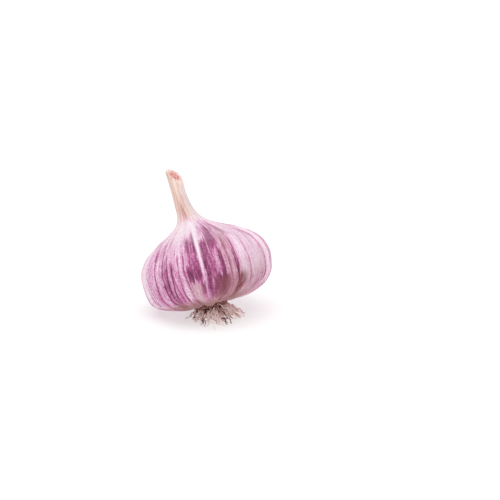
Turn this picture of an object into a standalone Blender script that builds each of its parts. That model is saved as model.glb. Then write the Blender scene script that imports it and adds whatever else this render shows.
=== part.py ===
"""A head of purple-striped garlic with its cut neck, papery outer skin and root tuft.

It lies as an untrimmed head does, tipped until two of its cloves and the root tips touch the table.
Lengths are metres. The head is modelled upright about its own axis, round the root plate,
and an empty tips it into place. Angles round the axis start at the front (-Y) and turn towards +X.
"""

import math
import random

import bmesh
import bpy
import numpy as np
from mathutils import Matrix, Vector

MM = 0.001
NAME = "garlic_bulb"
UP = Vector((0, 0, 1))

# How the head lies: its axis leans left and back, and the root plate hangs above the table.
LEAN_LEFT = math.radians(15)
LEAN_BACK = math.radians(13)
ROOT_PLATE_AT = Vector((2.1, -2.8, 4.85)) * MM

# Stations of the head from the dimple under it to the cut neck, in millimetres:
# crest radius, height, depth of the creases between the cloves, sideways drift of the axis.
STATIONS = np.array((
    (0.0, 1.6, 0.0, 0.0),
    (6.6, 1.5, 0.1, 0.0),
    (9.5, 0.8, 0.6, 0.2),
    (14.0, 0.5, 1.3, 0.5),
    (19.5, 1.6, 1.8, 0.9),
    (25.2, 4.1, 2.0, 1.3),
    (28.5, 8.0, 1.9, 1.8),
    (29.6, 13.0, 1.7, 2.1),
    (29.8, 18.0, 1.5, 2.2),
    (28.3, 23.0, 1.3, 2.2),
    (24.6, 27.3, 1.2, 2.0),
    (18.8, 31.2, 1.1, 1.6),
    (12.3, 34.5, 0.8, 1.1),
    (7.3, 37.9, 0.5, 0.8),
    (4.5, 42.0, 0.35, 0.1),
    (3.4, 47.5, 0.3, -0.8),
    (3.0, 54.0, 0.3, -1.1),
    (3.2, 61.0, 0.3, -1.2),
)) * MM
TOP_STATION = len(STATIONS) - 1
TANGENT_STEP = 0.05
HEAD_ROWS = 30

# How the clove lines bow at each station, as a share of their angle, on the left and on the right:
# they draw in under the head and spread on its shoulders. Towards the back they are straight.
BOWS = np.array((
    (1.00, 1.00),
    (0.90, 0.95),
    (0.80, 0.90),
    (0.76, 0.88),
    (0.75, 0.89),
    (0.77, 0.91),
    (0.88, 0.97),
    (0.97, 1.00),
    (1.02, 1.00),
    (1.03, 1.00),
    (1.08, 1.08),
    (1.18, 1.25),
    (1.33, 1.45),
    (1.40, 1.50),
    (1.35, 1.40),
    (1.20, 1.25),
    (1.05, 1.10),
    (1.00, 1.00),
))
BOW_FULL_TO_DEG = 35
BOW_GONE_FROM_DEG = 110

# Creases between neighbouring cloves, in degrees round the axis, and how far each clove swells.
CREASES_DEG = (-126, -94, -67, -41, -15.5, 16.5, 36, 63, 98, 134, 168, 202, 234)
CLOVE_SWELL_MM = (1.1, -0.1, 0.2, -0.2, 0.3, -0.5, 0.2, 0.5, -0.2, 0.4, -0.1, 0.6)
CLOVE_COUNT = len(CLOVE_SWELL_MM)
COLUMNS_PER_CLOVE = 9
CLOVE_ROUNDNESS = 0.62
RIB_RELIEF = 0.18 * MM
RIB_FULL_RADIUS = 20 * MM

# The slanting knife cut across the neck, as the rise of its plane along +X and +Y.
CUT_SLOPE_X = -0.78
CUT_SLOPE_Y = 0.82
CUT_BLEND_FROM = 50 * MM

# The flower stalk in the middle of the neck.
STALK_RADIUS = 1.6 * MM
STALK_DEPTH = 8 * MM
STALK_PROUD = 0.2 * MM
STALK_SIDES = 14
BORE_OVERRUN = 4 * MM

# The outermost skin: one torn papery leaf over the front and left of the head, up to the cut.
# Its edges wander by slow waves with sharper nicks on them.
SKIN_THICKNESS = 0.6 * MM
SKIN_LEFT_DEG = -101
SKIN_RIGHT_DEG = 31
SKIN_LOW_STATION = 4.6
SKIN_LOW_RISE = 1.0
SKIN_LIFT = 0.36 * MM
SKIN_BRIDGING = 0.8
SKIN_TEAR_DEG = 2.2
SKIN_TEAR_STATIONS = 0.25
TEAR_WAVES = 1.3
TEAR_NICKS = 7
WAVE_SHARE = 0.5
NICK_SHARE = 0.6
SKIN_COLUMNS = 38
SKIN_ROWS = 26

# The root plate and its dried roots.
PLATE_PROFILE_MM = ((0, 1.1), (6.0, 1.1), (7.2, 0.4), (7.6, -0.4), (6.6, -1.4), (3.5, -2.0), (0, -2.1))
PLATE_SIDES = 24
ROOT_COUNT = 84
ROOT_RING = 6.3 * MM
ROOT_START_DEPTH = 0.5 * MM
ROOT_LENGTH = 11.5 * MM
ROOT_ROOM_DOWNHILL = 0.4
ROOT_SPLAY = math.radians(62)
ROOT_SPLAY_SPREAD = math.radians(12)
ROOT_DROOP = 0.25
ROOT_CURL = 2.2 * MM
ROOT_CRINKLE = 0.35 * MM
ROOT_RADIUS = 0.42 * MM
ROOT_TIP_SHARE = 0.65
ROOT_POINTS = 6
GOLDEN_ANGLE = math.pi * (3 - math.sqrt(5))

# Meshes that touch keep this gap.
GAP = 0.3 * MM

HEAD_COLOUR = (0.62, 0.33, 0.50)
OUTER_SKIN_COLOUR = (0.50, 0.20, 0.38)
STALK_COLOUR = (0.55, 0.30, 0.27)
ROOT_COLOUR = (0.42, 0.27, 0.24)


def stance():
    """The tip and place of the whole head, from its upright frame to the world."""
    axis = Vector((-math.tan(LEAN_LEFT), math.tan(LEAN_BACK), 1)).normalized()
    return Matrix.Translation(ROOT_PLATE_AT) @ UP.rotation_difference(axis).to_matrix().to_4x4()


def smoothstep(low, high, value):
    share = min(max((value - low) / (high - low), 0), 1)
    return share * share * (3 - 2 * share)


def on_curve(table, place):
    """A table's row at a fractional station, on a smooth curve through its rows."""
    index = min(int(place), TOP_STATION - 1)
    t = place - index
    before, start = table[max(index - 1, 0)], table[index]
    end, after = table[index + 1], table[min(index + 2, TOP_STATION)]
    slope = end - before
    bend = 2 * before - 5 * start + 4 * end - after
    twist = 3 * start - before - 3 * end + after
    return start + 0.5 * (slope * t + bend * t ** 2 + twist * t ** 3)


def outward_at(place):
    """The profile's outward direction at a fractional station, as radial and upward shares."""
    ahead = on_curve(STATIONS, min(place + TANGENT_STEP, TOP_STATION))
    behind = on_curve(STATIONS, max(place - TANGENT_STEP, 0))
    along = ahead[:2] - behind[:2]
    along = along / np.linalg.norm(along)
    return along[1], -along[0]


def clove_at(angle_deg):
    """Which clove lies at this angle, and how far across it, from 0 to 1."""
    first = CREASES_DEG[0]
    turned = (angle_deg - first) % 360 + first
    for clove in range(CLOVE_COUNT):
        start, end = CREASES_DEG[clove], CREASES_DEG[clove + 1]
        if turned <= end:
            return clove, (turned - start) / (end - start)
    return 0, 0


def rib_heights():
    """A seeded height for each of the skin's raised veins, one at every column of the head."""
    rng = random.Random(7)
    return [rng.uniform(-1, 1) * RIB_RELIEF for _ in range(CLOVE_COUNT * COLUMNS_PER_CLOVE)]


RIBS = rib_heights()


def rib_at(clove, across):
    """Height of the veins at a place across a clove, straight from one column to the next."""
    column = (clove + across) * COLUMNS_PER_CLOVE
    low = int(column)
    share = column - low
    return RIBS[low % len(RIBS)] * (1 - share) + RIBS[(low + 1) % len(RIBS)] * share


def bowed(angle_deg, place):
    """Where a clove line lies at a station, in degrees, from its angle if it ran straight."""
    left, right = on_curve(BOWS, place)
    bow = left if angle_deg < 0 else right
    share = 1 - smoothstep(BOW_FULL_TO_DEG, BOW_GONE_FROM_DEG, abs(angle_deg))
    return angle_deg * (1 + (bow - 1) * share)


def head_point(angle_deg, place, lift=0, bridging=1):
    """A point of the head's surface, raised by lift; bridging below 1 makes the creases shallower."""
    radius, height, crease, drift = on_curve(STATIONS, place)
    out, up = outward_at(place)
    clove, across = clove_at(angle_deg)
    round_clove = math.sin(math.pi * across) ** CLOVE_ROUNDNESS
    fullness = smoothstep(0, RIB_FULL_RADIUS, radius)
    swell = CLOVE_SWELL_MM[clove] * MM * fullness * math.sin(math.pi * across)
    raised = swell - crease * bridging * (1 - round_clove) + rib_at(clove, across) * fullness + lift
    angle = math.radians(bowed(angle_deg, place))
    x = (radius + out * raised) * math.sin(angle)
    y = -(radius + out * raised) * math.cos(angle)
    slant = smoothstep(CUT_BLEND_FROM, STATIONS[TOP_STATION][1], height)
    z = height + up * raised + slant * (CUT_SLOPE_X * x + CUT_SLOPE_Y * y)
    return Vector((x + drift, y, z))


def press_flat(mesh, tipped):
    """Flattens whatever would reach below the table onto it."""
    untipped = tipped.inverted()
    for vertex in mesh.vertices:
        world = tipped @ vertex.co
        if world.z < 0:
            world.z = 0
            vertex.co = untipped @ world


def material(name, colour, roughness):
    made = bpy.data.materials.new(name)
    made.use_nodes = True
    shader = made.node_tree.nodes["Principled BSDF"]
    shader.inputs["Base Color"].default_value = (*colour, 1)
    shader.inputs["Roughness"].default_value = roughness
    shader.inputs["Metallic"].default_value = 0
    return made


def add_object(name, mesh, collection, parent=None, surface=None):
    made = bpy.data.objects.new(name, mesh)
    collection.objects.link(made)
    made.parent = parent
    if surface:
        mesh.materials.clear()
        mesh.materials.append(surface)
        mesh.shade_smooth()
        mesh.set_sharp_from_angle(angle=math.radians(60))
    return made


def mesh_from(name, shape):
    mesh = bpy.data.meshes.new(name)
    shape.to_mesh(mesh)
    shape.free()
    return mesh


def grid(columns, rows, point_at):
    """A bmesh grid whose vertices are placed by point_at(share across, share up)."""
    shape = bmesh.new()
    bmesh.ops.create_grid(shape, x_segments=columns, y_segments=rows, size=0.5)
    for vertex in shape.verts:
        vertex.co = point_at(round((vertex.co.x + 0.5) * columns), round((vertex.co.y + 0.5) * rows))
    return shape


def angle_of_column(column):
    """The head's columns are shared out evenly across each clove, with one in every crease."""
    clove, step = divmod(column, COLUMNS_PER_CLOVE)
    start = CREASES_DEG[clove]
    if step == 0:
        return start
    return start + (CREASES_DEG[clove + 1] - start) * step / COLUMNS_PER_CLOVE


def make_head(collection, cutters, parent, tipped):
    """The cloves under their wrappers and the neck of dried leaf sheaths, as one grown body."""
    columns = CLOVE_COUNT * COLUMNS_PER_CLOVE

    def point(column, row):
        return head_point(angle_of_column(column % columns), TOP_STATION * row / HEAD_ROWS)

    shape = grid(columns, HEAD_ROWS, point)
    bmesh.ops.remove_doubles(shape, verts=shape.verts, dist=0.01 * MM)
    bmesh.ops.holes_fill(shape, edges=[edge for edge in shape.edges if edge.is_boundary], sides=0)
    bmesh.ops.recalc_face_normals(shape, faces=shape.faces)
    mesh = mesh_from("head", shape)
    press_flat(mesh, tipped)
    head = add_object("head", mesh, collection, parent, material("head_skin", HEAD_COLOUR, 0.5))
    bore = make_stalk("stalk_bore", cutters, parent, STALK_RADIUS + GAP, STALK_DEPTH + GAP, BORE_OVERRUN)
    bore.hide_render = True
    bore.display_type = "WIRE"
    cut = head.modifiers.new("stalk_bore", "BOOLEAN")
    cut.operation = "DIFFERENCE"
    cut.object = bore
    return head


def make_stalk(name, collection, parent, radius, depth, proud, surface=None):
    """A cylinder down the middle of the neck, its top parallel to the slanting cut."""
    drift, cut_height = STATIONS[TOP_STATION][3], STATIONS[TOP_STATION][1]
    shape = bmesh.new()
    bmesh.ops.create_cone(shape, cap_ends=True, segments=STALK_SIDES, radius1=radius, radius2=radius, depth=1)
    for vertex in shape.verts:
        x, y, end = vertex.co
        top = cut_height + CUT_SLOPE_X * x + CUT_SLOPE_Y * y + proud
        vertex.co = (x + drift, y, top if end > 0 else cut_height - depth)
    return add_object(name, mesh_from(name, shape), collection, parent, surface)


def torn_edge(share, start):
    """A ragged line between about -1 and 1 along an edge of the skin."""
    wave = math.sin(2 * math.pi * (TEAR_WAVES * share + start))
    nick = abs((TEAR_NICKS * share + start) % 1 - 0.5) * 4 - 1
    return WAVE_SHARE * wave + NICK_SHARE * nick


def make_outer_skin(collection, parent):
    """The torn outermost leaf, a thin shell just clear of the head."""

    def point(column, row):
        across, up = column / SKIN_COLUMNS, row / SKIN_ROWS
        tear = SKIN_TEAR_STATIONS * torn_edge(across, 0.3)
        low = SKIN_LOW_STATION + SKIN_LOW_RISE * (1 - across) ** 2 + tear
        left = SKIN_LEFT_DEG + SKIN_TEAR_DEG * torn_edge(up, 0.1)
        right = SKIN_RIGHT_DEG + SKIN_TEAR_DEG * torn_edge(up, 0.6)
        place = low + (TOP_STATION - low) * up
        return head_point(left + (right - left) * across, place, SKIN_LIFT, SKIN_BRIDGING)

    mesh = mesh_from("outer_skin", grid(SKIN_COLUMNS, SKIN_ROWS, point))
    surface = material("outer_skin", OUTER_SKIN_COLOUR, 0.45)
    skin = add_object("outer_skin", mesh, collection, parent, surface)
    shell = skin.modifiers.new("paper", "SOLIDIFY")
    shell.thickness = SKIN_THICKNESS
    shell.offset = 1
    return skin


def root_points(index, tipped):
    """One root: out of the plate, drooping and crinkled, then along the table where it meets it."""
    rng = random.Random(100 + index)
    share = math.sqrt((index + 0.5) / ROOT_COUNT)
    turn = index * GOLDEN_ANGLE
    outward = Vector((math.sin(turn), -math.cos(turn), 0))
    sideways = Vector((math.cos(turn), math.sin(turn), 0))
    uphill = (tipped.to_3x3() @ outward).z / math.sin(tipped.to_3x3().col[2].angle(UP))
    room = ROOT_ROOM_DOWNHILL + (1 - ROOT_ROOM_DOWNHILL) * (0.5 + 0.5 * uphill)
    length = ROOT_LENGTH * room * rng.uniform(0.72, 1) * (0.65 + 0.35 * share)
    splay = ROOT_SPLAY * share + rng.uniform(-1, 1) * ROOT_SPLAY_SPREAD
    heading = outward * math.sin(splay) - UP * math.cos(splay)
    start = outward * ROOT_RING * share - UP * ROOT_START_DEPTH
    curl = rng.uniform(-1, 1) * ROOT_CURL
    points = []
    for step in range(ROOT_POINTS):
        t = step / (ROOT_POINTS - 1)
        crinkle = (outward * rng.uniform(-1, 1) + sideways * rng.uniform(-1, 1)) * ROOT_CRINKLE * min(step, 1)
        droop = UP * ROOT_DROOP * length * t ** 2
        world = tipped @ (start + heading * length * t + sideways * curl * t ** 2 - droop + crinkle)
        world.z = max(world.z, ROOT_RADIUS * ROOT_TIP_SHARE)
        points.append(tipped.inverted() @ world)
    return points


def make_root(index, collection, parent, tipped):
    """A four-sided tapering tube along one root's points."""
    curve = bpy.data.curves.new("root", "CURVE")
    curve.dimensions = "3D"
    curve.bevel_depth = ROOT_RADIUS
    curve.bevel_resolution = 0
    curve.use_fill_caps = True
    spline = curve.splines.new("POLY")
    spline.points.add(ROOT_POINTS - 1)
    for step, place in enumerate(root_points(index, tipped)):
        spline.points[step].co = (*place, 1)
        spline.points[step].radius = 1 - (1 - ROOT_TIP_SHARE) * step / (ROOT_POINTS - 1)
    wire = bpy.data.objects.new("root", curve)
    collection.objects.link(wire)
    bpy.context.view_layer.update()
    evaluated = wire.evaluated_get(bpy.context.evaluated_depsgraph_get())
    shape = bmesh.new()
    shape.from_mesh(bpy.data.meshes.new_from_object(evaluated))
    bmesh.ops.remove_doubles(shape, verts=shape.verts, dist=0.01 * MM)
    bpy.data.objects.remove(wire)
    return add_object(f"root_{index}", mesh_from("root", shape), collection, parent)


def make_roots(collection, cutters, parent, tipped):
    """The corky root plate with its dried roots grown out of it, fused into one body."""
    shape = bmesh.new()
    ring = [shape.verts.new((x * MM, 0, z * MM)) for x, z in PLATE_PROFILE_MM]
    for start, end in zip(ring, ring[1:]):
        shape.edges.new((start, end))
    plate = add_object("roots", mesh_from("roots", shape), collection, parent)
    turned = plate.modifiers.new("turned", "SCREW")
    turned.steps = turned.render_steps = PLATE_SIDES
    turned.use_merge_vertices = True
    turned.merge_threshold = 0.01 * MM
    strands = bpy.data.collections.new("root_strands")
    cutters.children.link(strands)
    for index in range(ROOT_COUNT):
        make_root(index, strands, parent, tipped)
    fuse = plate.modifiers.new("grown_together", "BOOLEAN")
    fuse.operation = "UNION"
    fuse.solver = "MANIFOLD"
    fuse.operand_type = "COLLECTION"
    fuse.collection = strands
    bpy.context.view_layer.update()
    evaluated = plate.evaluated_get(bpy.context.evaluated_depsgraph_get())
    fused = bpy.data.meshes.new_from_object(evaluated)
    for strand in list(strands.objects):
        bpy.data.objects.remove(strand)
    bpy.data.objects.remove(plate)
    press_flat(fused, tipped)
    return add_object("roots", fused, collection, parent, material("dry_roots", ROOT_COLOUR, 0.8))


def main():
    for old in list(bpy.data.objects):
        bpy.data.objects.remove(old)
    collection = bpy.data.collections.new(NAME)
    cutters = bpy.data.collections.new("cutters")
    bpy.context.scene.collection.children.link(collection)
    bpy.context.scene.collection.children.link(cutters)
    tipped = stance()
    lie = bpy.data.objects.new("lie_of_the_head", None)
    lie.matrix_world = tipped
    collection.objects.link(lie)
    bpy.context.view_layer.update()
    make_head(collection, cutters, lie, tipped)
    make_outer_skin(collection, lie)
    stalk_surface = material("cut_stalk", STALK_COLOUR, 0.7)
    make_stalk("flower_stalk", collection, lie, STALK_RADIUS, STALK_DEPTH, STALK_PROUD, stalk_surface)
    make_roots(collection, cutters, lie, tipped)


main()
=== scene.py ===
"""A head of purple-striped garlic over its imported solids: papery wrappers, cut neck, dried roots."""

import math
import random

import bmesh
import bpy
import numpy as np
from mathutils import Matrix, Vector


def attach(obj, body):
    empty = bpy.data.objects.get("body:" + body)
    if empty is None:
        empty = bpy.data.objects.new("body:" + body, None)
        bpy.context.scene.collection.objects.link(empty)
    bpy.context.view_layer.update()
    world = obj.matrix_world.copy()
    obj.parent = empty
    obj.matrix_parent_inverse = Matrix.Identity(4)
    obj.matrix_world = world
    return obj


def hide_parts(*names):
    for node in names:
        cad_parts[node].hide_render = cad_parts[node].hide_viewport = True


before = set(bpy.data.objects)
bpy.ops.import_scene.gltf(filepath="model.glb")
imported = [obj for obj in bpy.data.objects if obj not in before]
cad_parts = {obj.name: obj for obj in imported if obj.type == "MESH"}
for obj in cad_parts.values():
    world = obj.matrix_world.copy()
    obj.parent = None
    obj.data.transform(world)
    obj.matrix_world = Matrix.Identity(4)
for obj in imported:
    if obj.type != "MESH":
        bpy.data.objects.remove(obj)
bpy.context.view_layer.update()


# Camera. A long lens looks down a little on the bulb, which stands left of the middle of the picture.
# It is aimed past the bulb, so the lens needs no shift.

MM = 0.001
IMAGE_PIXELS = 500
PIXELS_PER_MM = 2.2
BULB_PIXEL = (206.0, 245.3)
BULB_MIDDLE = Vector((0, 0, 32 * MM))
CAMERA_DISTANCE = 700 * MM
CAMERA_RISE = math.radians(15.5)
SENSOR_MM = 36

sideways = Vector((1, 0, 0))
forward = Vector((0, math.cos(CAMERA_RISE), -math.sin(CAMERA_RISE)))
upward = sideways.cross(forward)
right_of_bulb = (IMAGE_PIXELS / 2 - BULB_PIXEL[0]) / PIXELS_PER_MM * MM
below_bulb = (IMAGE_PIXELS / 2 - BULB_PIXEL[1]) / PIXELS_PER_MM * MM
aim = BULB_MIDDLE + sideways * right_of_bulb - upward * below_bulb

camera_lens = bpy.data.cameras.new("camera")
camera_lens.sensor_width = SENSOR_MM
camera_lens.lens = SENSOR_MM * PIXELS_PER_MM * CAMERA_DISTANCE / MM / IMAGE_PIXELS
camera = bpy.data.objects.new("camera", camera_lens)
camera.location = aim - forward * CAMERA_DISTANCE
camera.rotation_euler = (math.pi / 2 - CAMERA_RISE, 0, 0)
bpy.context.scene.collection.objects.link(camera)
bpy.context.scene.camera = camera


# Head: a ring of cloves wrapped in dried leaf bases, which run together above them into the neck.
# It grew as one body. The wrappers cling to the cloves, so each clove shows as a lobe with a crease
# on either side, and every leaf's veins run from the root plate up into the neck.

UP = Vector((0, 0, 1))
LEAN_LEFT = math.radians(15)
LEAN_BACK = math.radians(13)
ROOT_PLATE_AT = Vector((2.1, -2.8, 4.85)) * MM
HEAD_AXIS = Vector((-math.tan(LEAN_LEFT), math.tan(LEAN_BACK), 1)).normalized()
TIP = UP.rotation_difference(HEAD_AXIS).to_matrix()

# The head's outline, in millimetres, at stations from the dimple under it to the cut end of the neck:
# radius at a clove's crest, height, depth of the creases, and sideways drift of the axis.
STATIONS = np.array((
    (0.0, 1.6, 0.0, 0.0),
    (6.6, 1.5, 0.1, 0.0),
    (9.5, 0.8, 0.6, 0.2),
    (14.0, 0.5, 1.3, 0.5),
    (19.5, 1.6, 1.8, 0.9),
    (25.2, 4.1, 2.0, 1.3),
    (28.5, 8.0, 1.9, 1.8),
    (29.6, 13.0, 1.7, 2.1),
    (29.8, 18.0, 1.5, 2.2),
    (28.3, 23.0, 1.3, 2.2),
    (24.6, 27.3, 1.2, 2.0),
    (18.8, 31.2, 1.1, 1.6),
    (12.3, 34.5, 0.8, 1.1),
    (7.3, 37.9, 0.5, 0.8),
    (4.5, 42.0, 0.35, 0.1),
    (3.4, 47.5, 0.3, -0.8),
    (3.0, 54.0, 0.3, -1.1),
    (3.2, 61.0, 0.3, -1.2),
)) * MM
TOP_STATION = len(STATIONS) - 1
CUT_HEIGHT, CUT_DRIFT = STATIONS[TOP_STATION][[1, 3]]
TANGENT_STEP = 0.05

# How the clove lines bow at each station, as a share of their angle, on the left and on the right.
BOWS = np.array((
    (1.00, 1.00),
    (0.90, 0.95),
    (0.80, 0.90),
    (0.76, 0.88),
    (0.75, 0.89),
    (0.77, 0.91),
    (0.88, 0.97),
    (0.97, 1.00),
    (1.02, 1.00),
    (1.03, 1.00),
    (1.08, 1.08),
    (1.18, 1.25),
    (1.33, 1.45),
    (1.40, 1.50),
    (1.35, 1.40),
    (1.20, 1.25),
    (1.05, 1.10),
    (1.00, 1.00),
))
BOW_FULL_TO_DEG = 35
BOW_GONE_FROM_DEG = 110

# Where the creases between the cloves lie, in degrees from the front, and how far each clove stands out.
CREASES = np.array((-126, -94, -67, -41, -15.5, 16.5, 36, 63, 98, 134, 168, 202, 234))
CLOVE_SWELL = np.array((1.1, -0.1, 0.2, -0.2, 0.3, -0.5, 0.2, 0.5, -0.2, 0.4, -0.1, 0.6)) * MM
CLOVE_COUNT = len(CLOVE_SWELL)
CLOVE_ROUNDNESS = 0.62
CREASE_SOFTNESS = 0.006
RIB_RELIEF = 0.18 * MM
RIBS_PER_CLOVE = 9
RIB_SEED = 7
FULL_RADIUS = 20 * MM
NECK_RADII = (4 * MM, 9 * MM)
CUT_SLOPE = (-0.78, 0.82)
CUT_BLEND_FROM = 50 * MM

HEAD_COLUMNS_PER_CLOVE = 64
HEAD_ROWS = 118
HEAD_BOTTOM_STATION = 0.8
SEAM_DEG = 100
VEIN_SEED = 11
VEIN_COUNT = 84
VEIN_HEIGHT = 0.15 * MM
VEIN_HALF_WIDTH_DEG = 0.55
VEIN_RADII = (3 * MM, 14 * MM)
# Between which values each vein is drawn: where it lies in its own share of the ring, then its sway in
# degrees, its waves, where they start, and its height.
VEIN_PLACES = (0.2, 0.8)
WAVE_STARTS = (0, 6)
VEIN_DRAWS = ((0.2, 0.9), (0.3, 0.8), WAVE_STARTS, (0.3, 1))
MAIN_VEIN_DEG = 1.1
MAIN_VEIN_HALF_WIDTH_DEG = 1.1
MAIN_VEIN_HEIGHT = 0.35 * MM
MAIN_VEIN_STATIONS = (6, 12)
NECK_FLUTES = 23
NECK_FLUTE_DEPTH = 0.14 * MM
NECK_FLUTE_SWAY = 0.4
# About what the veins and the flutes average, taken off so that they don't thicken the head and neck.
VEIN_LEVEL, NECK_FLUTE_LEVEL = 0.4, 0.8

# Seeded streaks in the relief: strength, cells round the head, cells a station, and seed.
FOLD_WANDER = (0.5, 60, 0.5, 41)
MAIN_VEIN_WANDER = (0.2, 60, 0.5, 41)
WRINKLES = ((0.09 * MM, 110, 0.9, 12), (0.054 * MM, 260, 0.6, 13))
FLUTE_BREAKS = (0.5, 40, 0.5, 14)

# Folds pressed into the wrappers where one leaf base ends under the next: angle at the foot and higher
# up, depth as a share, lowest and highest station.
FRONT_FOLDS = (
    (-80, -76, 0.6, 5, 9.8),
    (-69, -66, 0.7, 5, 10.3),
    (-61, -57.5, 0.8, 4.8, 10.1),
    (-52.5, -46.5, 0.8, 4.4, 9.8),
    (-45, -37.4, 1.4, 4.2, 10.9),
    (-39, -31.6, 1, 4.1, 9.7),
    (-33.5, -27, 0.9, 4.2, 8.8),
    (-23.5, -20.5, 0.6, 4.4, 9.4),
    (-15, -15, 0.6, 6.2, 9.9),
    (20.3, 20.3, 0.9, 6.2, 9),
    (25.3, 25.3, 0.6, 5, 10.6),
    # Along the torn edge of the outermost skin: the purple line this fold gets is painted shadow under that
    # edge.
    (33.4, 31.6, 1.1, 4.6, 8.8),
    (33.6, 34.8, 1, 7.9, 11.9),
    (44.9, 44.9, 0.8, 6.2, 10.4),
    (69.5, 68.3, 0.8, 5.8, 10.8),
    (77, 77, 0.45, 6, 10.4),
)
FOOT_DRIFT_STATIONS = 4.2
FOLD_DEPTH = 0.34 * MM
FOLD_HALF_WIDTH_DEG = 0.7
FOLD_FADE_STATIONS = 0.6

# Folds of the sides and back, drawn by lot to match the front: seed, count and span, and the limits of each
# fold's two angles in its own share of the span, its depth, and its lowest and highest station.
BACK_FOLDS = (31, 17, 82, 262)
BACK_FOLD_ANGLES = ((0.1, 0.9), (0.2, 0.8))
BACK_FOLD_LIMITS = ((0.5, 1), (4.6, 6.4), (9.6, 11.4))


def smooth(low, high, value):
    share = np.clip((value - low) / (high - low), 0, 1)
    return share * share * (3 - 2 * share)


def band(value, low, high, soft):
    """1 from low to high, fading to 0 over soft beyond each end."""
    return smooth(low - soft, low, value) * (1 - smooth(high, high + soft, value))


def streaks(angle, place, around, along, seed):
    """Seeded noise from -1 to 1 in streaks that run up the head: cells round it, and cells a station."""
    rows = int((TOP_STATION + 2) * along) + 3
    table = np.random.default_rng(seed).uniform(-1, 1, (rows, around))
    x = angle / 360 * around
    y = np.clip(place, 0, TOP_STATION + 1) * along
    column, row = np.floor(x).astype(int), np.floor(y).astype(int)
    across, up = smooth(0, 1, x - column), smooth(0, 1, y - row)
    left, right = column % around, (column + 1) % around
    low = table[row, left] * (1 - across) + table[row, right] * across
    high = table[row + 1, left] * (1 - across) + table[row + 1, right] * across
    return low * (1 - up) + high * up


def noise(angle, place, *rows):
    """Rows of seeded streaks, added up."""
    return sum(share * streaks(angle, place, around, along, seed) for share, around, along, seed in rows)


def past_seam(angle):
    """Angles counted on from the seam at the back left, so that it splits none of the folds and stripes."""
    return (angle + SEAM_DEG) % 360 - SEAM_DEG


def on_curve(table, place):
    """A table's rows at fractional stations, on a smooth curve through them."""
    index = np.minimum(place.astype(int), TOP_STATION - 1)
    t = (place - index)[..., None]
    before, start = table[np.maximum(index - 1, 0)], table[index]
    end, after = table[index + 1], table[np.minimum(index + 2, TOP_STATION)]
    bend = 2 * before - 5 * start + 4 * end - after
    twist = 3 * start - before - 3 * end + after
    return start + 0.5 * ((end - before) * t + bend * t ** 2 + twist * t ** 3)


def outward_at(place):
    ahead = on_curve(STATIONS, np.minimum(place + TANGENT_STEP, TOP_STATION))
    behind = on_curve(STATIONS, np.maximum(place - TANGENT_STEP, 0))
    along = ahead[..., :2] - behind[..., :2]
    along /= np.linalg.norm(along, axis=-1, keepdims=True)
    return along[..., 1], -along[..., 0]


def bowed(angle, place):
    """Where a clove line lies, in degrees, from its angle if it ran straight."""
    left, right = np.moveaxis(on_curve(BOWS, place), -1, 0)
    share = 1 - smooth(BOW_FULL_TO_DEG, BOW_GONE_FROM_DEG, np.abs(angle))
    return angle * (1 + (np.where(angle < 0, left, right) - 1) * share)


def by_lot(seed, count, first, last, angles, others):
    """Rows drawn by seeded lot: angles, each in the row's own share of the span, then the other values."""
    rng = random.Random(seed)
    spacing = (last - first) / count
    return tuple(
        (
            *[first + (row + rng.uniform(*limits)) * spacing for limits in angles],
            *[rng.uniform(*limits) for limits in others],
        )
        for row in range(count)
    )


FOLDS = FRONT_FOLDS + by_lot(*BACK_FOLDS, BACK_FOLD_ANGLES, BACK_FOLD_LIMITS)


def near_folds(angle, place, half_width):
    """How deep in a fold each place is, from 0 to 1."""
    turned = past_seam(angle) - noise(angle, place, FOLD_WANDER)
    depth = np.zeros_like(angle)
    for foot, top, share, low, high in FOLDS:
        centre = foot + (top - foot) * smooth(low, low + FOOT_DRIFT_STATIONS, place)
        off = (turned - centre) / half_width
        depth = np.maximum(depth, share * np.exp(-off ** 2) * band(place, low, high, FOLD_FADE_STATIONS))
    return depth


def clove_at(angle):
    turned = (angle - CREASES[0]) % 360 + CREASES[0]
    clove = np.clip(np.searchsorted(CREASES, turned, side="right") - 1, 0, CLOVE_COUNT - 1)
    return clove, (turned - CREASES[clove]) / (CREASES[clove + 1] - CREASES[clove])


def rib_relief(clove, across):
    rng = random.Random(RIB_SEED)
    heights = np.array([rng.uniform(-1, 1) * RIB_RELIEF for _ in range(CLOVE_COUNT * RIBS_PER_CLOVE)])
    column = (clove + across) * RIBS_PER_CLOVE
    low = np.floor(column).astype(int)
    share = smooth(0, 1, column - low)
    return heights[low % len(heights)] * (1 - share) + heights[(low + 1) % len(heights)] * share


def vein_relief(angle, place):
    """Thin raised veins at seeded angles, each wandering a little on its way up."""
    rng = np.random.default_rng(VEIN_SEED)
    relief = np.zeros_like(angle)
    for vein in range(VEIN_COUNT):
        centre = (vein + rng.uniform(*VEIN_PLACES)) * 360 / VEIN_COUNT
        sway, waves, start, height = (rng.uniform(*limits) for limits in VEIN_DRAWS)
        wander = sway * np.sin(place * waves + start)
        off = (angle - centre - wander + 180) % 360 - 180
        relief += height * np.exp(-(off / VEIN_HALF_WIDTH_DEG) ** 2)
    return relief


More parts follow.
